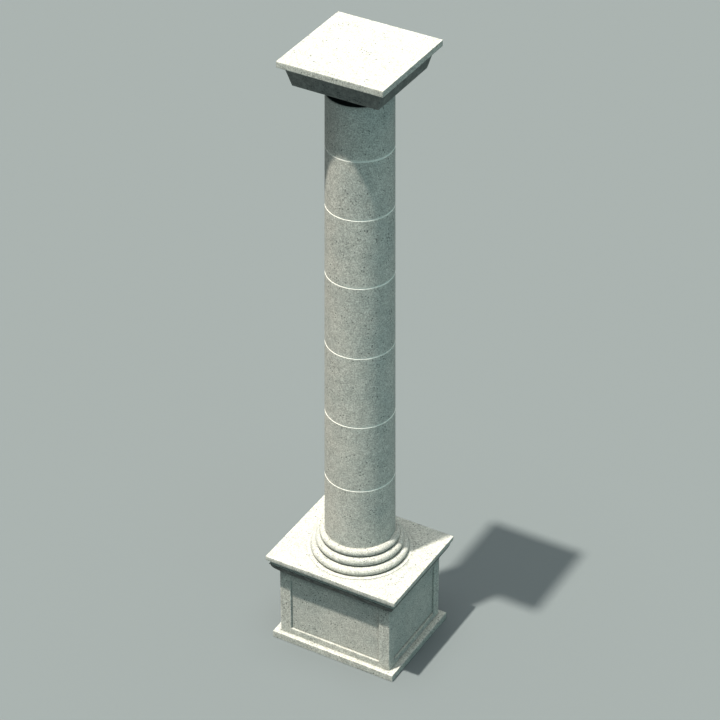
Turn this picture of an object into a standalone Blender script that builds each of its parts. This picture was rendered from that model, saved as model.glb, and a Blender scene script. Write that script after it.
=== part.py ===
"""Stone column on a panelled pedestal, built of separate blocks, each resting on the next.

Metres, Z up. The origin is on the ground under the middle of the pedestal, and X runs
along the pedestal's longer side. Every block is placed by the top of the one below it.
"""
import math

import bmesh
import bpy
from mathutils import Matrix

# Shaft: drums listed from the bottom up, on one straight taper
SHAFT_BOTTOM_RADIUS = 0.2225
SHAFT_TOP_RADIUS = 0.1993
DRUM_HEIGHTS = (0.4438, 0.4790, 0.5032, 0.4929, 0.4627, 0.3892, 0.3482)
JOINT_CHAMFER = 0.0042

# Column base: a thin disc and half-round rings, each with its reach beyond the shaft's foot
BASE_DISC_REACH = 0.1108
BASE_DISC_HEIGHT = 0.003
BASE_RING_REACHES = (0.0899, 0.0582, 0.0329)
BASE_RING_HEIGHTS = (0.0502, 0.0559, 0.0510)

# Pedestal die, set out from the base disc, with a sunk panel in each of its four faces
DIE_MARGIN_LENGTH = 0.0632
DIE_MARGIN_WIDTH = -0.0108
DIE_HEIGHT = 0.485
PANEL_DEPTH = 0.013
PANEL_MARGIN_LONG_FACE = 0.0755
PANEL_MARGIN_SHORT_FACE = 0.061
PANEL_MARGIN_BOTTOM = 0.044
PANEL_MARGIN_TOP = 0.044

# Pedestal plinth, with its reach beyond the die
PLINTH_REACH_LENGTH = 0.0415
PLINTH_REACH_WIDTH = 0.0335
PLINTH_HEIGHT = 0.0485

# Pedestal cap: a slab over a flat band, a fillet and a bed moulding
CAP_REACH_LENGTH = 0.0665
CAP_REACH_WIDTH = 0.0595
CAP_SLAB_HEIGHT = 0.0305
CAP_BAND_HEIGHT = 0.0300
CAP_BAND_SETBACK = 0.0205
CAP_FILLET_HEIGHT = 0.0077
CAP_FILLET_SETBACK = 0.0151
CAP_MOULDING_HEIGHT = 0.0677

# Capital: a round neck, a square bell that flares upward, and an abacus
NECK_RADIUS = 0.0925
NECK_HEIGHT = 0.0845
BELL_REACH = 0.0777
BELL_FLARE = 0.0323
BELL_HEIGHT = 0.1268
ABACUS_REACH = 0.0307
ABACUS_HEIGHT = 0.040

# Clearance between one block and the next
BED_GAP = 0.0003

# Sizes that follow from the ones above
BASE_RADIUS = SHAFT_BOTTOM_RADIUS + BASE_DISC_REACH
DIE_LENGTH = 2 * (BASE_RADIUS + DIE_MARGIN_LENGTH)
DIE_WIDTH = 2 * (BASE_RADIUS + DIE_MARGIN_WIDTH)
PLINTH_LENGTH = DIE_LENGTH + 2 * PLINTH_REACH_LENGTH
PLINTH_WIDTH = DIE_WIDTH + 2 * PLINTH_REACH_WIDTH
CAP_LENGTH = DIE_LENGTH + 2 * CAP_REACH_LENGTH
CAP_WIDTH = DIE_WIDTH + 2 * CAP_REACH_WIDTH
BELL_BOTTOM_WIDTH = 2 * (SHAFT_TOP_RADIUS + BELL_REACH)
BELL_TOP_WIDTH = BELL_BOTTOM_WIDTH + 2 * BELL_FLARE
ABACUS_WIDTH = BELL_TOP_WIDTH + 2 * ABACUS_REACH

# Fineness of the curved forms
ROUND_STEPS = 64
RING_STEPS = 8
MOULDING_STEPS = 8
SMOOTH_ANGLE = math.radians(25)

# Finish of the stone
BLOCK_STONE = (0.60, 0.61, 0.58, 1.0)
SHAFT_STONE = (0.58, 0.60, 0.58, 1.0)
STONE_ROUGHNESS = 0.85


def clear_scene():
    for item in list(bpy.data.objects):
        bpy.data.objects.remove(item, do_unlink=True)


def stone_material(name, colour):
    material = bpy.data.materials.new(name)
    material.use_nodes = True
    shader = material.node_tree.nodes["Principled BSDF"]
    shader.inputs["Base Color"].default_value = colour
    shader.inputs["Roughness"].default_value = STONE_ROUGHNESS
    shader.inputs["Metallic"].default_value = 0.0
    return material


def close_ends(bm):
    """Fill the open rims of a surface and turn its faces outward."""
    rims = [edge for edge in bm.edges if edge.is_boundary]
    bmesh.ops.holes_fill(bm, edges=rims, sides=0)
    bmesh.ops.recalc_face_normals(bm, faces=bm.faces)


def make_object(name, bm, bed_level):
    """Object of the finished bmesh, standing with its own zero height at bed_level."""
    mesh = bpy.data.meshes.new(name)
    bm.to_mesh(mesh)
    bm.free()
    item = bpy.data.objects.new(name, mesh)
    item.location.z = bed_level
    bpy.context.collection.objects.link(item)
    return item


def turned_body(profile):
    """Round body with its axis on Z, from (radius, height) points listed from bottom to top."""
    bm = bmesh.new()
    points = [bm.verts.new((radius, 0.0, height)) for radius, height in profile]
    edges = [bm.edges.new(pair) for pair in zip(points, points[1:])]
    bmesh.ops.spin(
        bm,
        geom=points + edges,
        axis=(0.0, 0.0, 1.0),
        cent=(0.0, 0.0, 0.0),
        angle=math.tau,
        steps=ROUND_STEPS,
        use_merge=True,
    )
    close_ends(bm)
    return bm


def moulded_body(levels):
    """Rectangular body from (length, width, height) levels listed from bottom to top."""
    bm = bmesh.new()
    length, width, height = levels[0]
    place = Matrix.Translation((0.0, 0.0, height)) @ Matrix.Diagonal((length, width, 1.0, 1.0))
    bmesh.ops.create_grid(bm, x_segments=1, y_segments=1, size=0.5, matrix=place)
    top = bm.faces[:]
    for level in levels[1:]:
        grown = bmesh.ops.extrude_face_region(bm, geom=top)["geom"]
        bmesh.ops.delete(bm, geom=top, context="FACES_ONLY")
        top = [piece for piece in grown if isinstance(piece, bmesh.types.BMFace)]
        corners = [piece for piece in grown if isinstance(piece, bmesh.types.BMVert)]
        bmesh.ops.scale(bm, vec=(level[0] / length, level[1] / width, 1.0), verts=corners)
        bmesh.ops.translate(bm, vec=(0.0, 0.0, level[2] - height), verts=corners)
        length, width, height = level
    close_ends(bm)
    return bm


def add_box(bm, middle, size):
    place = Matrix.Translation(middle) @ Matrix.Diagonal((*size, 1.0))
    bmesh.ops.create_cube(bm, size=1.0, matrix=place)


def shade_round(item):
    item.data.shade_smooth()
    item.data.set_sharp_from_angle(angle=SMOOTH_ANGLE)


def shape_with(item, tool, operation):
    """Cut or join the item with a tool shape that stays out of the finished model."""
    tool.hide_render = True
    tool.display_type = "WIRE"
    modifier = item.modifiers.new(operation.capitalize(), "BOOLEAN")
    modifier.operation = operation
    modifier.solver = "EXACT"
    modifier.object = tool


def build_plinth(bed_level):
    levels = (
        (PLINTH_LENGTH, PLINTH_WIDTH, 0.0),
        (PLINTH_LENGTH, PLINTH_WIDTH, PLINTH_HEIGHT),
    )
    plinth = make_object("pedestal_plinth", moulded_body(levels), bed_level)
    plinth.data.materials.append(stone_material("plinth_stone", BLOCK_STONE))
    return bed_level + PLINTH_HEIGHT


def panel_cutters():
    """Boxes that sink a panel into each face, half of each box standing clear of the stone."""
    height = DIE_HEIGHT - PANEL_MARGIN_BOTTOM - PANEL_MARGIN_TOP
    middle = PANEL_MARGIN_BOTTOM + height / 2
    long_size = (DIE_LENGTH - 2 * PANEL_MARGIN_LONG_FACE, 2 * PANEL_DEPTH, height)
    short_size = (2 * PANEL_DEPTH, DIE_WIDTH - 2 * PANEL_MARGIN_SHORT_FACE, height)
    bm = bmesh.new()
    for side in (-1, 1):
        add_box(bm, (0.0, side * DIE_WIDTH / 2, middle), long_size)
        add_box(bm, (side * DIE_LENGTH / 2, 0.0, middle), short_size)
    return bm


def build_die(bed_level):
    levels = (
        (DIE_LENGTH, DIE_WIDTH, 0.0),
        (DIE_LENGTH, DIE_WIDTH, DIE_HEIGHT),
    )
    die = make_object("pedestal_die", moulded_body(levels), bed_level)
    die.data.materials.append(stone_material("die_stone", BLOCK_STONE))
    cutters = make_object("panel_cutters", panel_cutters(), bed_level)
    shape_with(die, cutters, "DIFFERENCE")
    return bed_level + DIE_HEIGHT


def cap_moulding():
    """Bed moulding that swells from the die's faces out to the fillet under the flat band."""
    length_run = CAP_LENGTH - 2 * CAP_BAND_SETBACK - DIE_LENGTH
    width_run = CAP_WIDTH - 2 * CAP_BAND_SETBACK - DIE_WIDTH
    levels = []
    for step in range(MOULDING_STEPS + 1):
        rise = step / MOULDING_STEPS
        reach = math.sin(math.pi / 2 * rise)
        length = DIE_LENGTH + length_run * reach
        width = DIE_WIDTH + width_run * reach
        levels.append((length, width, rise * CAP_MOULDING_HEIGHT))
    return levels


def build_cap(bed_level):
    band_base = CAP_MOULDING_HEIGHT + CAP_FILLET_HEIGHT
    slab_base = band_base + CAP_BAND_HEIGHT
    top = slab_base + CAP_SLAB_HEIGHT
    bands = (
        (CAP_FILLET_SETBACK, CAP_MOULDING_HEIGHT, band_base),
        (CAP_BAND_SETBACK, band_base, slab_base),
        (0.0, slab_base, top),
    )
    levels = cap_moulding()
    for setback, lower, upper in bands:
        length = CAP_LENGTH - 2 * setback
        width = CAP_WIDTH - 2 * setback
        levels += [(length, width, lower), (length, width, upper)]
    cap = make_object("pedestal_cap", moulded_body(levels), bed_level)
    cap.data.materials.append(stone_material("cap_stone", BLOCK_STONE))
    return bed_level + top


def half_round(radius, bottom, height):
    """Outline of a ring that swells to this outer radius."""
    swell = height / 2
    points = []
    for step in range(RING_STEPS + 1):
        turn = math.pi * (step / RING_STEPS - 0.5)
        across = radius - swell + swell * math.cos(turn)
        up = bottom + swell + swell * math.sin(turn)
        points.append((across, up))
    return points


def build_base(bed_level):
    profile = [(BASE_RADIUS, 0.0), (BASE_RADIUS, BASE_DISC_HEIGHT)]
    level = BASE_DISC_HEIGHT
    for reach, height in zip(BASE_RING_REACHES, BASE_RING_HEIGHTS):
        profile += half_round(SHAFT_BOTTOM_RADIUS + reach, level, height)
        level += height
    base = make_object("column_base", turned_body(profile), bed_level)
    base.data.materials.append(stone_material("base_stone", BLOCK_STONE))
    shade_round(base)
    return bed_level + level


def shaft_radius(height):
    """Radius of the shaft at a height above its foot."""
    shaft_height = sum(DRUM_HEIGHTS) + BED_GAP * (len(DRUM_HEIGHTS) - 1)
    return SHAFT_BOTTOM_RADIUS + (SHAFT_TOP_RADIUS - SHAFT_BOTTOM_RADIUS) * height / shaft_height


def drum_profile(foot, height, joint_below, joint_above):
    """Outline of a drum whose foot is this far up the shaft, chamfered where it meets another."""
    lower = shaft_radius(foot)
    upper = shaft_radius(foot + height)
    profile = [(lower, 0.0), (upper, height)]
    if joint_below:
        profile[:1] = [(lower - JOINT_CHAMFER, 0.0), (lower, JOINT_CHAMFER)]
    if joint_above:
        profile[-1:] = [(upper, height - JOINT_CHAMFER), (upper - JOINT_CHAMFER, height)]
    return profile


def build_shaft(bed_level):
    foot = 0.0
    last = len(DRUM_HEIGHTS)
    for number, height in enumerate(DRUM_HEIGHTS, start=1):
        profile = drum_profile(foot, height, number > 1, number < last)
        drum = make_object(f"shaft_drum_{number}", turned_body(profile), bed_level + foot)
        drum.data.materials.append(stone_material(f"drum_{number}_stone", SHAFT_STONE))
        shade_round(drum)
        foot += height + BED_GAP
    return bed_level + foot - BED_GAP


def build_capital(bed_level):
    bell_top = NECK_HEIGHT + BELL_HEIGHT
    abacus_top = bell_top + ABACUS_HEIGHT
    levels = (
        (BELL_BOTTOM_WIDTH, BELL_BOTTOM_WIDTH, NECK_HEIGHT),
        (BELL_TOP_WIDTH, BELL_TOP_WIDTH, bell_top),
        (ABACUS_WIDTH, ABACUS_WIDTH, bell_top),
        (ABACUS_WIDTH, ABACUS_WIDTH, abacus_top),
    )
    capital = make_object("capital", moulded_body(levels), bed_level)
    capital.data.materials.append(stone_material("capital_stone", BLOCK_STONE))
    inside_bell = NECK_HEIGHT + BELL_HEIGHT / 2
    neck_body = turned_body(((NECK_RADIUS, 0.0), (NECK_RADIUS, inside_bell)))
    shape_with(capital, make_object("neck_form", neck_body, bed_level), "UNION")
    return bed_level + abacus_top


def main():
    clear_scene()
    level = 0.0
    for build in (build_plinth, build_die, build_cap, build_base, build_shaft, build_capital):
        level = build(level) + BED_GAP


main()
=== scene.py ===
"""Dresses the stone column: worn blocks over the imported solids, the stone's finish and the stage."""
import math

import bmesh
import bpy
import numpy as np
from bpy.props import FloatProperty, FloatVectorProperty, IntProperty, PointerProperty
from bpy.types import Operator, Panel, PropertyGroup
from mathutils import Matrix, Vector, noise


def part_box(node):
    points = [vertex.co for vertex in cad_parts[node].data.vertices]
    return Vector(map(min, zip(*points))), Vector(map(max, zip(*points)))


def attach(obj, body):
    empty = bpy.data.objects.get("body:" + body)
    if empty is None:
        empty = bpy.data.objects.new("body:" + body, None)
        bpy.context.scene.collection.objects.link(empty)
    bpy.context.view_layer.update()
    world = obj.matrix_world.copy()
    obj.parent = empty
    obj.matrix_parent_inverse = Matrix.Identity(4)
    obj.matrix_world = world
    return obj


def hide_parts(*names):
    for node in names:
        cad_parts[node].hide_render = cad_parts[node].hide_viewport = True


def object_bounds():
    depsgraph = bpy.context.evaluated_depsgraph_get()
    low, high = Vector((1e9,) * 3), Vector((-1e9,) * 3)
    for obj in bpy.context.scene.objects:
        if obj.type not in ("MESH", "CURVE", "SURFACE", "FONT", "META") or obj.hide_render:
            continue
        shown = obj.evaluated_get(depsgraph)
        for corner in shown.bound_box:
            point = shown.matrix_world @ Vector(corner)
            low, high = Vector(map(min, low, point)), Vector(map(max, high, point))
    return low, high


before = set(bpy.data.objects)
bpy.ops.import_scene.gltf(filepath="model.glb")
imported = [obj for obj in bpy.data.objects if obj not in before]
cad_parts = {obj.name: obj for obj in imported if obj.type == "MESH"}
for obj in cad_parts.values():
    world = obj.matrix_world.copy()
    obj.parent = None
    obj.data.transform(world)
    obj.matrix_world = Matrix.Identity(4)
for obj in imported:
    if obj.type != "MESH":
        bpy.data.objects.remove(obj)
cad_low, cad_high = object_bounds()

bl_info = {
    "name": "Stone column",
    "version": (1, 0, 0),
    "blender": (4, 5, 0),
    "location": "3D View > Sidebar > Column",
    "description": "Dresses a stone column on its pedestal and sets it on a studio floor",
    "category": "Object",
}

BODY = "root"
DIE_BLOCK = "pedestal_die"
CAP_BLOCK = "pedestal_cap"
PEDESTAL_BLOCKS = ("pedestal_plinth", DIE_BLOCK, CAP_BLOCK)
BASE_BLOCK = "column_base"
CAPITAL_BLOCK = "capital"
DRUMS = sorted(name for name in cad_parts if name.startswith("shaft_drum_"))

MERGE_DISTANCE = 0.00001
BARE_EDGE = 0.001
FLAT_ANGLE = math.radians(1)
SHARP_ANGLE = math.radians(25)
SMOOTH_ANGLE = math.radians(38)
FAR = 10.0
FLOOR_ROUGHNESS = 0.9

# Which part of the slow noise cuts a nick into an edge
NICK_GAIN = 2.0
NICK_FLOOR = 0.9

# Noises of the stone, each as repeats per metre, detail and roughness
CLOUD_NOISE = (4.5, 4.0, 0.6)
PATCH_NOISE = (5.0, 3.0, 0.6)
MOTTLE_NOISE = (30.0, 3.0, 0.6)
GRAIN_NOISE = (120.0, 2.0, 0.7)

# Dots in the stone, each as cells per metre, radius in cells and share of the cells that hold one
SPECK_DOTS = (62.0, 0.36, 0.42)
LOOSE_SPECK_DOTS = (40.0, 0.20, 0.12)
FLECK_DOTS = (70.0, 0.40, 0.30)
DOT_CORE = 0.5

# Values of a noise between which a pattern fades in
CLOUD_RANGE = (0.35, 0.68)
PATCH_RANGE = (0.50, 0.58)
MOTTLE_RANGE = (0.3, 0.7)
GRAIN_RANGE = (0.34, 0.66)
LOOSE_SPECK_RANGE = (0.3, 0.5)
FLECK_RANGE = (0.40, 0.58)
WORN_RANGE = (0.35, 0.6)
PAINTED_SHADE_RANGE = (0.2, 0.6)
HIGHLIGHT_RANGE = (0.25, 0.5)

# Weakest and strongest effect of a pattern
MOTTLE_TONES = (0.90, 1.08)
GRAIN_TONES = (0.72, 1.26)
PAINTED_SHADE_TONES = (0.75, 1.1)
EDGE_SHADE_TONES = (0.6, 1.1)
HIGHLIGHT_TONES = (0.7, 1.0)
ROUGHNESS_TONES = (0.72, 0.94)
FLECK_STRENGTH = 0.35
SPECK_STRENGTH = 0.9
WORN_STRENGTH = 0.25
SPECULAR_LEVEL = 0.3

# Relief of the finish: shares of grain, mottle and pores, and the whole of it
GRAIN_RELIEF = 0.5
MOTTLE_RELIEF = 0.8
PORE_RELIEF = 0.8
RELIEF_STRENGTH = 0.55
RELIEF_DEPTH = 0.0016

# Offset of the patterns from one block to the next, and the slant of the diagonal patches
BLOCK_SHIFT = Vector((1.7, 0.9, 2.3))
SLANT_TURN = (0.5, 0.7, 0.6)
SLANT_STRETCH = (1.0, 2.6, 2.6)


class BlockSettings(PropertyGroup):
    point_spacing: FloatProperty(
        name="Point spacing",
        description="Distance between surface points, which carries the wear",
        default=0.011,
        unit="LENGTH",
    )
    arris_width: FloatProperty(
        name="Arris width",
        description="How far the edges of the blocks are rounded by handling",
        default=0.0013,
        unit="LENGTH",
    )
    hollow_depth: FloatProperty(
        name="Hollow depth",
        description="Depth of the slow unevenness of the rubbed faces",
        default=0.0004,
        unit="LENGTH",
    )
    hollow_size: FloatProperty(
        name="Hollow size",
        description="Size of the slow unevenness of the rubbed faces",
        default=0.07,
        unit="LENGTH",
    )
    chip_depth: FloatProperty(
        name="Chip depth",
        description="How deep the edges are nicked",
        default=0.0006,
        unit="LENGTH",
    )
    chip_size: FloatProperty(
        name="Chip size",
        description="Size of the nicks along the edges",
        default=0.028,
        unit="LENGTH",
    )
    wear_reach: FloatProperty(
        name="Wear reach",
        description="How far the wear spreads from an edge",
        default=0.009,
        unit="LENGTH",
    )
    # Painted shade: reach and strength of the darkening painted along inner corners and beds.
    corner_shade_reach: FloatProperty(
        name="Soil reach",
        description="How far dirt spreads from an inner corner or a bed",
        default=0.006,
        unit="LENGTH",
    )
    corner_shade_strength: FloatProperty(
        name="Soil strength",
        description="How much the dirt in an inner corner hides the stone",
        default=0.3,
    )


# Painted shade under the cap, down the die, at the shaft's top and on the capital's neck and bell, and a
# painted highlight on the cap's ledge.
class PaintedShadeSettings(PropertyGroup):
    # Painted shade: height and strength of the darkening under the cap's band.
    cap_height: FloatProperty(
        name="Crust on the cap",
        description="Height of the sheltered moulding and fillet under the cap's band",
        default=0.0754,
        unit="LENGTH",
    )
    cap_strength: FloatProperty(
        name="Crust strength on the cap",
        description="How much the crust hides the stone of the sheltered moulding",
        default=0.8,
    )
    # Painted highlight: how pale the cap's narrow ledge is painted.
    ledge_highlight: FloatProperty(
        name="Pale wash on the ledge",
        description="How pale the narrow ledge on the cap's fillet is",
        default=0.6,
    )
    # Painted shade: reach and strength of the darkening down the die under the cap.
    die_reach: FloatProperty(
        name="Crust reach on the die",
        description="How far the crust spreads down the die from the cap",
        default=0.024,
        unit="LENGTH",
    )
    die_strength: FloatProperty(
        name="Crust strength on the die",
        description="How much the crust hides the stone right under the cap",
        default=0.5,
    )
    neck_height: FloatProperty(
        name="Neck height",
        description="Height of the capital's round neck under its bell",
        default=0.0845,
        unit="LENGTH",
    )
    bell_height: FloatProperty(
        name="Bell height",
        description="Height of the capital's bell between the neck and the abacus",
        default=0.1268,
        unit="LENGTH",
    )
    # Painted shade: how dark the neck, the bell's underside and the bell's sides are painted.
    neck_strength: FloatProperty(
        name="Crust strength on the neck",
        description="How much the crust hides the stone of the neck and the bell's underside",
        default=0.9,
    )
    bell_strength: FloatProperty(
        name="Crust strength on the bell",
        description="How much the crust hides the stone of the bell's sides",
        default=0.68,
    )
    # Painted shade: height and strength of the darkened band at the top of the shaft.
    band_height: FloatProperty(
        name="Crust band",
        description="Height of the darkened band at the top of the shaft",
        default=0.03,
        unit="LENGTH",
    )
    band_strength: FloatProperty(
        name="Crust strength on the band",
        description="How much the crust hides the stone at the shaft's upper rim",
        default=0.45,
    )


class TurnedSettings(PropertyGroup):
    round_steps: IntProperty(
        name="Steps around",
        description="Faces around a drum or the base",
        default=160,
    )
    ring_steps: IntProperty(
        name="Ring steps",
        description="Faces across each half-round ring of the base",
        default=14,
    )
    disc_height: FloatProperty(
        name="Disc height",
        description="Thickness of the disc under the rings",
        default=0.003,
        unit="LENGTH",
    )
    ring_reaches: FloatVectorProperty(
        name="Ring reaches",
        description="How far each ring stands out from the shaft's foot, lowest first",
        default=(0.0899, 0.0582, 0.0329),
        unit="LENGTH",
    )
    ring_heights: FloatVectorProperty(
        name="Ring heights",
        description="Height of each ring, lowest first",
        default=(0.0502, 0.0559, 0.0510),
        unit="LENGTH",
    )
    joint_chamfer: FloatProperty(
        name="Joint chamfer",
        description="Chamfer of the drums where they meet",
        default=0.0042,
        unit="LENGTH",
    )
    # Painted highlight: height of the pale band painted under a drum's upper chamfer.
    joint_highlight_height: FloatProperty(
        name="Joint wash",
        description="Height of the pale wash on a drum under its upper chamfer",
        default=0.003,
        unit="LENGTH",
    )
    # Painted shade: how dark the low disc's edge is painted.
    disc_edge_shade: FloatProperty(
        name="Grime on the disc's edge",
        description="How much dirt hides the stone of the low disc's edge",
        default=0.5,
    )


class StoneColours(PropertyGroup):
    pale: FloatVectorProperty(
        name="Pale stone",
        description="Main colour of the stone",
        default=(0.475, 0.48, 0.45, 1.0),
        size=4,
        subtype="COLOR",
    )
    shade: FloatVectorProperty(
        name="Dull stone",
        description="Colour of the duller clouds in the stone",
        default=(0.41, 0.43, 0.41, 1.0),
        size=4,
        subtype="COLOR",
    )
    fleck: FloatVectorProperty(
        name="Flecks",
        description="Colour of the light grains",
        default=(0.74, 0.74, 0.69, 1.0),
        size=4,
        subtype="COLOR",
    )
    speck: FloatVectorProperty(
        name="Specks",
        description="Colour of the dark grains and pores",
        default=(0.075, 0.085, 0.08, 1.0),
        size=4,
        subtype="COLOR",
    )
    # Painted shade: this dark colour is laid in inner corners and beds, under the cap, down the die, at the
    # shaft's top, on the capital's neck and bell and on the disc's edge.
    painted_shade: FloatVectorProperty(
        name="Soil",
        description="Colour of the dirt in corners and of the crust in sheltered places",
        default=(0.022, 0.026, 0.026, 1.0),
        size=4,
        subtype="COLOR",
    )
    # Painted highlight: this pale colour brightens the shaft's joints and the cap's narrow ledge, which lie
    # in shade.
    highlight_paint: FloatVectorProperty(
        name="Pale wash",
        description="Colour of the pale wash on the shaft's joints and the cap's narrow ledge",
        default=(0.90, 0.90, 0.86, 1.0),
        size=4,
        subtype="COLOR",
    )


class StageSettings(PropertyGroup):
    floor_colour: FloatVectorProperty(
        name="Floor colour",
        description="Colour of the plain floor",
        default=(0.130, 0.153, 0.165, 1.0),
        size=4,
        subtype="COLOR",
    )
    floor_size: FloatProperty(
        name="Floor size",
        description="Side of the square floor",
        default=120.0,
        unit="LENGTH",
    )
    key_azimuth: FloatProperty(
        name="Key azimuth",
        description="Direction that the key light comes from, from the front towards the right",
        default=math.radians(-28.5),
        subtype="ANGLE",
    )
    key_elevation: FloatProperty(
        name="Key elevation",
        description="Height of the key light above the horizon",
        default=math.radians(74.0),
        subtype="ANGLE",
    )
    key_strength: FloatProperty(
        name="Key strength",
        description="Strength of the key light",
        default=6.4,
    )
    key_colour: FloatVectorProperty(
        name="Key colour",
        description="Colour of the key light",
        default=(1.0, 0.93, 0.81),
        subtype="COLOR",
    )
    key_spread: FloatProperty(
        name="Key spread",
        description="Angle that the key light spreads over, which softens its shadows",
        default=math.radians(1.6),
        subtype="ANGLE",
    )
    overhead_strength: FloatProperty(
        name="Overhead strength",
        description="Strength of the wide light straight above",
        default=2.6,
    )
    overhead_colour: FloatVectorProperty(
        name="Overhead colour",
        description="Colour of the wide light straight above",
        default=(0.97, 0.99, 0.93),
        subtype="COLOR",
    )
    overhead_spread: FloatProperty(
        name="Overhead spread",
        description="Angle that the light straight above spreads over",
        default=math.radians(50.0),
        subtype="ANGLE",
    )
    fill_strength: FloatProperty(
        name="Fill strength",
        description="Strength of the cool light from the right",
        default=0.5,
    )
    fill_colour: FloatVectorProperty(
        name="Fill colour",
        description="Colour of the cool light from the right",
        default=(0.42, 0.95, 1.0),
        subtype="COLOR",
    )
    fill_spread: FloatProperty(
        name="Fill spread",
        description="Angle that the cool light spreads over",
        default=math.radians(40.0),
        subtype="ANGLE",
    )
    fill_azimuth: FloatProperty(
        name="Fill azimuth",
        description="Direction that the cool light comes from, from the front towards the right",
        default=math.radians(62.0),
        subtype="ANGLE",
    )
    fill_elevation: FloatProperty(
        name="Fill elevation",
        description="Height of the cool light above the horizon",
        default=math.radians(10.0),
        subtype="ANGLE",
    )
    sky_strength: FloatProperty(
        name="Sky strength",
        description="Strength of the even light from all sides",
        default=0.06,
    )
    sky_colour: FloatVectorProperty(
        name="Sky colour",
        description="Colour of the even light from all sides",
        default=(0.65, 1.0, 1.0, 1.0),
        size=4,
        subtype="COLOR",
    )
    camera_azimuth: FloatProperty(
        name="Camera azimuth",
        description="Direction of the camera, from the front towards the right",
        default=math.radians(30.0),
        subtype="ANGLE",
    )
    camera_elevation: FloatProperty(
        name="Camera elevation",
        description="Height of the camera above the horizon",
        default=math.radians(35.0),
        subtype="ANGLE",
    )
    camera_distance: FloatProperty(
        name="Camera distance",
        description="Distance of the camera from the point it looks at",
        default=16.41,
        unit="LENGTH",
    )
    camera_target: FloatProperty(
        name="Camera target",
        description="Height of the point that the camera looks at",
        default=2.1014,
        unit="LENGTH",
    )
    camera_angle: FloatProperty(
        name="Camera angle",
        description="Angle of view across the frame",
        default=math.radians(15.0),
        subtype="ANGLE",
    )


# Reworking a block

def merged_copy(node):
    """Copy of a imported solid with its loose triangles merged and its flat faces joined."""
    bm = bmesh.new()
    bm.from_mesh(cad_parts[node].data)
    bmesh.ops.remove_doubles(bm, verts=bm.verts, dist=MERGE_DISTANCE)
    bmesh.ops.dissolve_limit(bm, angle_limit=FLAT_ANGLE, verts=bm.verts, edges=bm.edges)
    return bm


def sharp_edges(bm, convex):
    return [
        edge
        for edge in bm.edges
        if len(edge.link_faces) == 2
        and edge.calc_face_angle() > SHARP_ANGLE
        and edge.is_convex == convex
    ]


def ends_of(edges):
    """Both ends of each edge, as plain points that stay when the mesh changes."""
    return [(np.array(edge.verts[0].co), np.array(edge.verts[1].co)) for edge in edges]


def bed_rim(node):
    """Rim of a block's underside, along which shade is painted on the block below."""
    bm = merged_copy(node)
    level = min(vert.co.z for vert in bm.verts)
    rim = [
        edge
        for edge in sharp_edges(bm, True)
        if max(vert.co.z for vert in edge.verts) < level + MERGE_DISTANCE
    ]
    ends = ends_of(rim)
    bm.free()
    return ends


def distance_to(points, ends):
    """Distance of each point from the nearest of these straight stretches."""
    nearest = np.full(len(points), FAR)
    for start, end in ends:
        run = end - start
        along = np.clip((points - start) @ run / (run @ run), 0.0, 1.0)
        gap = points - start - along[:, None] * run
        nearest = np.minimum(nearest, np.linalg.norm(gap, axis=1))
    return nearest


def round_arrises(bm, width):
    bmesh.ops.bevel(
        bm,
        geom=sharp_edges(bm, True),
        offset=width,
        offset_type="OFFSET",
        segments=2,
        profile=0.5,
        affect="EDGES",
        clamp_overlap=True,
        material=-1,
    )


def slice_evenly(bm, spacing):
    """Cut the flat faces into a grid of points, along each axis in turn."""
    corners = np.array([vert.co for vert in bm.verts])
    low = corners.min(0)
    high = corners.max(0)
    for axis in range(3):
        normal = Vector((0.0, 0.0, 0.0))
        normal[axis] = 1.0
        count = max(1, math.ceil((high[axis] - low[axis]) / spacing))
        for step in range(1, count):
            place = low[axis] + (high[axis] - low[axis]) * step / count
            bmesh.ops.bisect_plane(
                bm,
                geom=bm.verts[:] + bm.edges[:] + bm.faces[:],
                dist=MERGE_DISTANCE,
                plane_co=normal * place,
                plane_no=normal,
            )


def unevenness(points, size):
    """Slow noise between 0 and 1 at each point."""
    values = [noise.noise(Vector(point) / size) for point in points]
    return np.clip(0.5 + 0.5 * np.array(values), 0.0, 1.0)


def weather(bm, arrises, corners, painted_shade_at):
    """Sink the surface where it is worn and mark wear and painted shade on its points."""
    blocks = bpy.context.scene.column_blocks
    bm.normal_update()
    points = np.array([vert.co for vert in bm.verts])
    normals = np.array([vert.normal for vert in bm.verts])
    wear = np.exp(-((distance_to(points, arrises) / blocks.wear_reach) ** 2))
    # Painted shade: darker near inner corners and beds, and wherever the given function paints shade.
    darkening = blocks.corner_shade_strength * np.exp(-distance_to(points, corners) / blocks.corner_shade_reach)
    darkening = np.maximum(darkening, painted_shade_at(points))
    nicks = np.clip(NICK_GAIN * unevenness(points, blocks.chip_size) - NICK_FLOOR, 0.0, 1.0) ** 2
    depth = blocks.hollow_depth * unevenness(points, blocks.hollow_size)
    depth += blocks.chip_depth * wear * nicks
    moved = points - normals * depth[:, None]
    worn_layer = bm.verts.layers.float.new("worn")
    painted_shade_layer = bm.verts.layers.float.new("painted_shade")
    for index, vert in enumerate(bm.verts):
        vert.co = moved[index]
        vert[worn_layer] = wear[index]
        vert[painted_shade_layer] = darkening[index]


def no_painted_shade(points):
    return np.zeros(len(points))


def mark_faces(bm, node, marks):
    """Give each face an amount of painted highlight or painted shade, from functions of the faces' middles.
    """
    for name, amount in (marks or {}).items():
        middles = np.array([face.calc_center_median() for face in bm.faces])
        values = amount(node, middles)
        layer = bm.faces.layers.float.new(name)
        for face, value in zip(bm.faces, values):
            face[layer] = value


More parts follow.
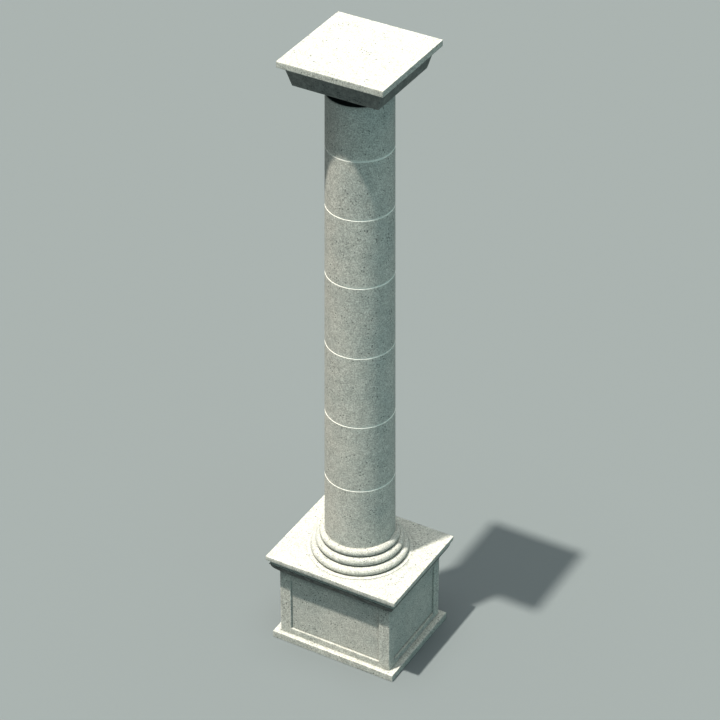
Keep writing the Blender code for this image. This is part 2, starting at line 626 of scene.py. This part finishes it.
def add_piece(node, bm, material):
    """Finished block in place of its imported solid."""
    mesh = bpy.data.meshes.new(f"{node}_stone")
    bm.to_mesh(mesh)
    bm.free()
    mesh.shade_smooth()
    mesh.set_sharp_from_angle(angle=SMOOTH_ANGLE)
    mesh.materials.append(material)
    piece = bpy.data.objects.new(f"{node}_stone", mesh)
    bpy.context.scene.collection.objects.link(piece)
    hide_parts(node)
    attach(piece, BODY)


def dress_block(node, above, painted_shade_at=no_painted_shade, marks=None):
    """Rework a squared block, with painted shade along its inner corners and where the next block sits on it.
    """
    blocks = bpy.context.scene.column_blocks
    bm = merged_copy(node)
    arrises = ends_of(sharp_edges(bm, True))
    corners = ends_of(sharp_edges(bm, False))
    if above:
        corners += bed_rim(above)
    round_arrises(bm, blocks.arris_width)
    slice_evenly(bm, blocks.point_spacing)
    mark_faces(bm, node, marks)
    weather(bm, arrises, corners, painted_shade_at)
    add_piece(node, bm, stone_material(node))


# Turned blocks

def turned_body(profile, spacing):
    """Closed round body from (radius, height) points that start and end on the axis."""
    turned = bpy.context.scene.column_turned
    bm = bmesh.new()
    points = [bm.verts.new((radius, 0.0, height)) for radius, height in profile]
    edges = [bm.edges.new(pair) for pair in zip(points, points[1:])]
    for edge in edges:
        cuts = math.ceil(edge.calc_length() / spacing) - 1
        if cuts > 0:
            bmesh.ops.subdivide_edges(bm, edges=[edge], cuts=cuts)
    bmesh.ops.spin(
        bm,
        geom=bm.verts[:] + bm.edges[:],
        axis=(0.0, 0.0, 1.0),
        cent=(0.0, 0.0, 0.0),
        angle=math.tau,
        steps=turned.round_steps,
        use_merge=True,
    )
    bmesh.ops.remove_doubles(bm, verts=bm.verts, dist=MERGE_DISTANCE)
    bmesh.ops.recalc_face_normals(bm, faces=bm.faces)
    return bm


def half_round(radius, bottom, height):
    """Outline of a ring that swells to this outer radius."""
    steps = bpy.context.scene.column_turned.ring_steps
    swell = height / 2
    points = []
    for step in range(steps + 1):
        turn = math.pi * (step / steps - 0.5)
        across = radius - swell + swell * math.cos(turn)
        up = bottom + swell + swell * math.sin(turn)
        points.append((across, up))
    return points


def shaft_radius(height):
    """Radius of the shaft at a height, on the straight line through its lowest and highest drums."""
    low_foot, low_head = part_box(DRUMS[0])
    high_foot, high_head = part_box(DRUMS[-1])
    taper = (high_head.x - low_head.x) / (high_foot.z - low_foot.z)
    return low_head.x + taper * (height - low_foot.z)


def drum_profile(node):
    """Outline of a drum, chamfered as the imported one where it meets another."""
    turned = bpy.context.scene.column_turned
    foot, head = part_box(node)
    below = turned.joint_chamfer if node != DRUMS[0] else 0.0
    above = turned.joint_chamfer if node != DRUMS[-1] else 0.0
    lower = shaft_radius(foot.z)
    upper = shaft_radius(head.z)
    profile = [(0.0, foot.z), (lower - below, foot.z)]
    if below:
        profile.append((lower, foot.z + below))
    if above:
        # Points where the painted highlight under the upper chamfer begins.
        highlight_foot = head.z - above - turned.joint_highlight_height
        profile.append((shaft_radius(highlight_foot), highlight_foot))
        profile.append((upper, head.z - above))
    profile += [(upper - above, head.z), (0.0, head.z)]
    return profile


def base_profile():
    turned = bpy.context.scene.column_turned
    foot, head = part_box(BASE_BLOCK)
    level = foot.z + turned.disc_height
    profile = [(0.0, foot.z), (head.x, foot.z), (head.x, level)]
    for reach, height in zip(turned.ring_reaches, turned.ring_heights):
        profile += half_round(shaft_radius(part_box(DRUMS[0])[0].z) + reach, level, height)
        level += height
    profile.append((0.0, level))
    return profile


def highlight_on_joints(node, middles):
    """Painted highlight on a drum's chamfers and just under the upper one, which makes the joints bright
    where they lie in shade.
    """
    turned = bpy.context.scene.column_turned
    foot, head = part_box(node)
    heights = middles[:, 2]
    painted_highlight = np.zeros(len(middles))
    if node != DRUMS[0]:
        painted_highlight[heights < foot.z + turned.joint_chamfer] = 1.0
    if node != DRUMS[-1]:
        painted_highlight[heights > head.z - turned.joint_chamfer - turned.joint_highlight_height] = 1.0
    return painted_highlight


def shade_on_disc_edge(node, middles):
    """Painted shade on the edge of the low disc."""
    turned = bpy.context.scene.column_turned
    foot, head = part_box(node)
    across = np.hypot(middles[:, 0], middles[:, 1])
    at_edge = (across > head.x - BARE_EDGE) & (middles[:, 2] < foot.z + turned.disc_height)
    return np.where(at_edge, turned.disc_edge_shade, 0.0)


def dress_turned(node, profile, above, painted_shade_at=no_painted_shade, marks=None):
    """Turn a round block, with painted shade along its inner corners and where the next block sits on it."""
    blocks = bpy.context.scene.column_blocks
    bm = turned_body(profile, blocks.point_spacing)
    mark_faces(bm, node, marks)
    arrises = ends_of(sharp_edges(bm, True))
    corners = ends_of(sharp_edges(bm, False))
    if above:
        corners += bed_rim(above)
    weather(bm, arrises, corners, painted_shade_at)
    add_piece(node, bm, stone_material(node))


# The stone's finish

class Nodes:
    """Short hand for the nodes of one material."""

    def __init__(self, name):
        self.material = bpy.data.materials.new(name)
        self.material.use_nodes = True
        self.tree = self.material.node_tree
        self.shader = self.tree.nodes["Principled BSDF"]

    def add(self, kind, inputs=None, **settings):
        node = self.tree.nodes.new(kind)
        for name, value in settings.items():
            setattr(node, name, value)
        for name, value in (inputs or {}).items():
            self.feed(value, node.inputs[name])
        return node

    def feed(self, value, socket):
        if isinstance(value, bpy.types.NodeSocket):
            self.tree.links.new(value, socket)
        else:
            socket.default_value = value

    def noise(self, place, scale, detail, roughness):
        inputs = {"Vector": place, "Scale": scale, "Detail": detail, "Roughness": roughness}
        return self.add("ShaderNodeTexNoise", inputs).outputs["Fac"]

    def math(self, operation, first, second=0.0):
        node = self.add("ShaderNodeMath", {0: first, 1: second}, operation=operation)
        return node.outputs[0]

    def ramp(self, value, low, high, start=0.0, end=1.0):
        """Value taken from low..high to start..end and held there."""
        inputs = {"Value": value, "From Min": low, "From Max": high, "To Min": start, "To Max": end}
        node = self.add("ShaderNodeMapRange", inputs, interpolation_type="SMOOTHSTEP")
        return node.outputs["Result"]

    def mix(self, factor, first, second):
        node = self.add("ShaderNodeMix", data_type="RGBA")
        self.feed(factor, node.inputs[0])
        self.feed(first, node.inputs[6])
        self.feed(second, node.inputs[7])
        return node.outputs[2]

    def attribute(self, name):
        return self.add("ShaderNodeAttribute", attribute_name=name).outputs["Fac"]


def place_in_stone(nodes, node_name):
    """Object coordinates, shifted for each block as if it were cut from another part of the bed."""
    shift = BLOCK_SHIFT * sorted(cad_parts).index(node_name)
    place = nodes.add("ShaderNodeTexCoord").outputs["Object"]
    mapping = nodes.add("ShaderNodeMapping", {"Vector": place, "Location": shift})
    return mapping.outputs["Vector"]


def slanted(nodes, place):
    """Coordinates drawn out along a slant, for marks that lie in diagonal patches."""
    inputs = {"Vector": place, "Rotation": SLANT_TURN, "Scale": SLANT_STRETCH}
    return nodes.add("ShaderNodeMapping", inputs).outputs["Vector"]


def dots(nodes, place, scale, radius, share, patches):
    """Small round marks in a share of the cells, only inside the patches."""
    cells = nodes.add("ShaderNodeTexVoronoi", {"Vector": place, "Scale": scale})
    spot = nodes.ramp(cells.outputs["Distance"], radius, radius * DOT_CORE)
    luck = nodes.add("ShaderNodeSeparateColor", {"Color": cells.outputs["Color"]})
    chosen = nodes.math("LESS_THAN", luck.outputs["Red"], share)
    return nodes.math("MULTIPLY", nodes.math("MULTIPLY", spot, chosen), patches)


def stone_patterns(nodes, node_name):
    """Noises and dots that the colour, roughness and relief of one block share."""
    place = place_in_stone(nodes, node_name)
    slant = slanted(nodes, place)
    mottle = nodes.noise(place, *MOTTLE_NOISE)
    patches = nodes.ramp(nodes.noise(slant, *PATCH_NOISE), *PATCH_RANGE)
    return {
        "clouds": nodes.ramp(nodes.noise(place, *CLOUD_NOISE), *CLOUD_RANGE),
        "mottle": mottle,
        "grain": nodes.noise(place, *GRAIN_NOISE),
        "specks": dots(nodes, place, *SPECK_DOTS, patches),
        "loose_specks": dots(nodes, place, *LOOSE_SPECK_DOTS, nodes.ramp(mottle, *LOOSE_SPECK_RANGE)),
        "flecks": dots(nodes, place, *FLECK_DOTS, nodes.ramp(mottle, *FLECK_RANGE)),
    }


def stone_colour(nodes, patterns):
    """Clouded, mottled and grained stone with light flecks and dark specks."""
    colours = bpy.context.scene.column_colours
    clouded = nodes.mix(patterns["clouds"], colours.pale, colours.shade)
    mottled = nodes.ramp(patterns["mottle"], *MOTTLE_RANGE, *MOTTLE_TONES)
    grained = nodes.ramp(patterns["grain"], *GRAIN_RANGE, *GRAIN_TONES)
    tone = nodes.math("MULTIPLY", mottled, grained)
    toned = nodes.add("ShaderNodeVectorMath", {0: clouded, "Scale": tone}, operation="SCALE")
    colour = toned.outputs[0]
    dotted = (
        ("flecks", FLECK_STRENGTH, colours.fleck),
        ("specks", SPECK_STRENGTH, colours.speck),
        ("loose_specks", SPECK_STRENGTH, colours.speck),
    )
    for name, strength, over in dotted:
        cover = nodes.math("MULTIPLY", patterns[name], strength)
        colour = nodes.mix(cover, colour, over)
    return colour


def weathered(nodes, patterns, colour):
    """Stone with pale worn edges, then painted shade in corners, under the overhangs and on the disc's edge,
    and painted highlights on the joints and the cap's ledge over it.
    """
    colours = bpy.context.scene.column_colours
    mottle = patterns["mottle"]
    worn = nodes.math("MULTIPLY", nodes.attribute("worn"), nodes.ramp(mottle, *WORN_RANGE))
    colour = nodes.mix(nodes.math("MULTIPLY", worn, WORN_STRENGTH), colour, colours.fleck)
    # Painted shade from corners and overhangs, painted shade on the disc's edge, and painted highlights on
    # the joints and the cap's ledge, each over the stone.
    films = (
        ("painted_shade", mottle, PAINTED_SHADE_RANGE + PAINTED_SHADE_TONES, colours.painted_shade),
        ("painted_edge_shade", mottle, PAINTED_SHADE_RANGE + EDGE_SHADE_TONES, colours.painted_shade),
        ("painted_highlight", patterns["grain"], HIGHLIGHT_RANGE + HIGHLIGHT_TONES, colours.highlight_paint),
    )
    for name, pattern, spread, over in films:
        cover = nodes.math("MULTIPLY", nodes.attribute(name), nodes.ramp(pattern, *spread))
        colour = nodes.mix(cover, colour, over)
    return colour


def relief(nodes, patterns):
    """Slight roughness of grain and mottle, with pores where the specks are."""
    grain = nodes.math("MULTIPLY", patterns["grain"], GRAIN_RELIEF)
    mottle = nodes.math("MULTIPLY", patterns["mottle"], MOTTLE_RELIEF)
    pores = nodes.math("ADD", patterns["specks"], patterns["loose_specks"])
    sunk = nodes.math("MULTIPLY", pores, PORE_RELIEF)
    height = nodes.math("SUBTRACT", nodes.math("ADD", grain, mottle), sunk)
    inputs = {"Height": height, "Strength": RELIEF_STRENGTH, "Distance": RELIEF_DEPTH}
    return nodes.add("ShaderNodeBump", inputs).outputs["Normal"]


def stone_material(node_name):
    """Fine-grained pale stone with dull clouds, light flecks, dark specks and worn edges, with painted shade
    and painted highlights over it.
    """
    nodes = Nodes(f"{node_name}_finish")
    patterns = stone_patterns(nodes, node_name)
    colour = weathered(nodes, patterns, stone_colour(nodes, patterns))
    rough = nodes.ramp(patterns["mottle"], *MOTTLE_RANGE, *ROUGHNESS_TONES)
    inputs = nodes.shader.inputs
    nodes.feed(colour, inputs["Base Color"])
    nodes.feed(rough, inputs["Roughness"])
    nodes.feed(relief(nodes, patterns), inputs["Normal"])
    inputs["Specular IOR Level"].default_value = SPECULAR_LEVEL
    return nodes.material


def plain_material(name, colour, roughness):
    material = bpy.data.materials.new(name)
    material.use_nodes = True
    shader = material.node_tree.nodes["Principled BSDF"]
    shader.inputs["Base Color"].default_value = colour
    shader.inputs["Roughness"].default_value = roughness
    return material


# Painted shade under the overhangs, and a painted highlight on the cap's ledge

def shade_under_cap(points):
    """Painted shade on the moulding and the fillet that the cap's band and slab overhang."""
    shading = bpy.context.scene.column_crust
    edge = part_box(CAP_BLOCK)[0].z + shading.cap_height - BARE_EDGE
    return np.where(points[:, 2] < edge, shading.cap_strength, 0.0)


def shade_on_die(points):
    """Painted shade that fades down the die from the cap."""
    shading = bpy.context.scene.column_crust
    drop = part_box(DIE_BLOCK)[1].z - points[:, 2]
    return shading.die_strength * np.exp(-drop / shading.die_reach)


def shade_under_capital(points):
    """Painted shade on the shaft's top bed, darkened fully, and on the band just below it, darker towards the
    top.
    """
    shading = bpy.context.scene.column_crust
    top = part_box(DRUMS[-1])[1].z
    rise = np.clip((points[:, 2] - top + shading.band_height) / shading.band_height, 0.0, 1.0)
    across = np.hypot(points[:, 0], points[:, 1])
    on_bed = (points[:, 2] > top - BARE_EDGE) & (across < shaft_radius(top) - BARE_EDGE)
    return np.where(on_bed, 1.0, shading.band_strength * rise ** 2)


def shade_on_capital(points):
    """Painted shade on the round neck and the bell's underside, weaker on the bell's sides."""
    shading = bpy.context.scene.column_crust
    bell_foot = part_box(CAPITAL_BLOCK)[0].z + shading.neck_height
    abacus_foot = bell_foot + shading.bell_height
    heights = points[:, 2]
    on_neck = heights < bell_foot + BARE_EDGE
    on_bell = heights < abacus_foot + BARE_EDGE
    return np.where(on_neck, shading.neck_strength, np.where(on_bell, shading.bell_strength, 0.0))


def highlight_on_ledge(node, middles):
    """Painted highlight on the narrow ledge that the cap's fillet leaves under the band, which lies in shade.
    """
    shading = bpy.context.scene.column_crust
    heights = middles[:, 2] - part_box(node)[0].z - shading.cap_height
    return np.where(np.abs(heights) < BARE_EDGE, shading.ledge_highlight, 0.0)


# Painted shade on the die and under the cap.
PAINTED_SHADES = {DIE_BLOCK: shade_on_die, CAP_BLOCK: shade_under_cap}
# Painted highlight on the cap's ledge.
MARKS = {CAP_BLOCK: {"painted_highlight": highlight_on_ledge}}


# Operators

class COLUMN_OT_pedestal(Operator):
    """Dress the plinth, the panelled die and the moulded cap"""

    bl_idname = "column.pedestal"
    bl_label = "Pedestal"

    def execute(self, context):
        for node, above in zip(PEDESTAL_BLOCKS, PEDESTAL_BLOCKS[1:] + (BASE_BLOCK,)):
            dress_block(node, above, PAINTED_SHADES.get(node, no_painted_shade), MARKS.get(node))
        return {"FINISHED"}


class COLUMN_OT_base(Operator):
    """Turn the base with its disc and rings"""

    bl_idname = "column.base"
    bl_label = "Base"

    def execute(self, context):
        # Painted shade on the disc's edge.
        marks = {"painted_edge_shade": shade_on_disc_edge}
        dress_turned(BASE_BLOCK, base_profile(), DRUMS[0], no_painted_shade, marks)
        return {"FINISHED"}


class COLUMN_OT_shaft(Operator):
    """Turn the tapering drums of the shaft"""

    bl_idname = "column.shaft"
    bl_label = "Shaft"

    def execute(self, context):
        # Painted highlight on the joints.
        marks = {"painted_highlight": highlight_on_joints}
        for node in DRUMS:
            # Painted shade at the shaft's top.
            dress_turned(node, drum_profile(node), None, shade_under_capital, marks)
        return {"FINISHED"}


class COLUMN_OT_capital(Operator):
    """Dress the capital with its neck, bell and abacus"""

    bl_idname = "column.capital"
    bl_label = "Capital"

    def execute(self, context):
        # Painted shade on the neck and the bell.
        dress_block(CAPITAL_BLOCK, None, shade_on_capital)
        return {"FINISHED"}


def direction(azimuth, elevation):
    """Unit vector towards a point at this azimuth, from the front to the right, and elevation."""
    flat = math.cos(elevation)
    return Vector((math.sin(azimuth) * flat, -math.cos(azimuth) * flat, math.sin(elevation)))


def aim(item, target):
    item.rotation_euler = (target - item.location).to_track_quat("-Z", "Y").to_euler()


def add_floor(stage):
    bm = bmesh.new()
    bmesh.ops.create_grid(bm, x_segments=1, y_segments=1, size=stage.floor_size / 2)
    mesh = bpy.data.meshes.new("floor")
    bm.to_mesh(mesh)
    bm.free()
    mesh.materials.append(plain_material("floor_paint", stage.floor_colour, FLOOR_ROUGHNESS))
    floor = bpy.data.objects.new("floor", mesh)
    bpy.context.scene.collection.objects.link(floor)


def add_light(name, towards, strength, colour, spread):
    """Distant light that comes from a direction and spreads over an angle."""
    middle = (cad_low + cad_high) / 2
    data = bpy.data.lights.new(name, "SUN")
    data.energy = strength
    data.color = colour
    data.angle = spread
    light = bpy.data.objects.new(name, data)
    light.location = middle + towards * FAR
    aim(light, middle)
    bpy.context.scene.collection.objects.link(light)


def add_lights(stage):
    key = direction(stage.key_azimuth, stage.key_elevation)
    add_light("key", key, stage.key_strength, stage.key_colour, stage.key_spread)
    above = Vector((0.0, 0.0, 1.0))
    add_light("overhead", above, stage.overhead_strength, stage.overhead_colour, stage.overhead_spread)
    fill = direction(stage.fill_azimuth, stage.fill_elevation)
    add_light("fill", fill, stage.fill_strength, stage.fill_colour, stage.fill_spread)


def add_sky(stage):
    world = bpy.data.worlds.new("studio")
    world.use_nodes = True
    shader = world.node_tree.nodes["Background"]
    shader.inputs["Color"].default_value = stage.sky_colour
    shader.inputs["Strength"].default_value = stage.sky_strength
    bpy.context.scene.world = world
    bpy.context.scene.view_settings.view_transform = "Standard"


def add_camera(stage):
    target = Vector((0.0, 0.0, stage.camera_target))
    data = bpy.data.cameras.new("camera")
    data.angle = stage.camera_angle
    camera = bpy.data.objects.new("camera", data)
    camera.location = target + direction(stage.camera_azimuth, stage.camera_elevation) * stage.camera_distance
    aim(camera, target)
    bpy.context.scene.collection.objects.link(camera)
    bpy.context.scene.camera = camera


class COLUMN_OT_stage(Operator):
    """Lay the floor and set the lights and the camera"""

    bl_idname = "column.stage"
    bl_label = "Stage"

    def execute(self, context):
        stage = context.scene.column_stage
        add_floor(stage)
        add_lights(stage)
        add_sky(stage)
        add_camera(stage)
        return {"FINISHED"}


class COLUMN_PT_panel(Panel):
    bl_label = "Stone column"
    bl_idname = "COLUMN_PT_panel"
    bl_space_type = "VIEW_3D"
    bl_region_type = "UI"
    bl_category = "Column"

    def draw(self, context):
        for operator in OPERATORS:
            self.layout.operator(operator.bl_idname)
        for name in SETTINGS:
            group = getattr(context.scene, name)
            box = self.layout.box()
            for setting in group.bl_rna.properties:
                if not setting.is_readonly and setting.identifier != "name":
                    box.prop(group, setting.identifier)


OPERATORS = (
    COLUMN_OT_pedestal,
    COLUMN_OT_base,
    COLUMN_OT_shaft,
    COLUMN_OT_capital,
    COLUMN_OT_stage,
)
SETTINGS = {
    "column_blocks": BlockSettings,
    "column_crust": PaintedShadeSettings,
    "column_turned": TurnedSettings,
    "column_colours": StoneColours,
    "column_stage": StageSettings,
}


def register():
    for name, group in SETTINGS.items():
        bpy.utils.register_class(group)
        setattr(bpy.types.Scene, name, PointerProperty(type=group))
    for operator in OPERATORS:
        bpy.utils.register_class(operator)
    bpy.utils.register_class(COLUMN_PT_panel)


def unregister():
    bpy.utils.unregister_class(COLUMN_PT_panel)
    for operator in reversed(OPERATORS):
        bpy.utils.unregister_class(operator)
    for name, group in reversed(SETTINGS.items()):
        delattr(bpy.types.Scene, name)
        bpy.utils.unregister_class(group)


def main():
    register()
    bpy.ops.column.pedestal()
    bpy.ops.column.base()
    bpy.ops.column.shaft()
    bpy.ops.column.capital()
    bpy.ops.column.stage()


if __name__ == "__main__":
    main()
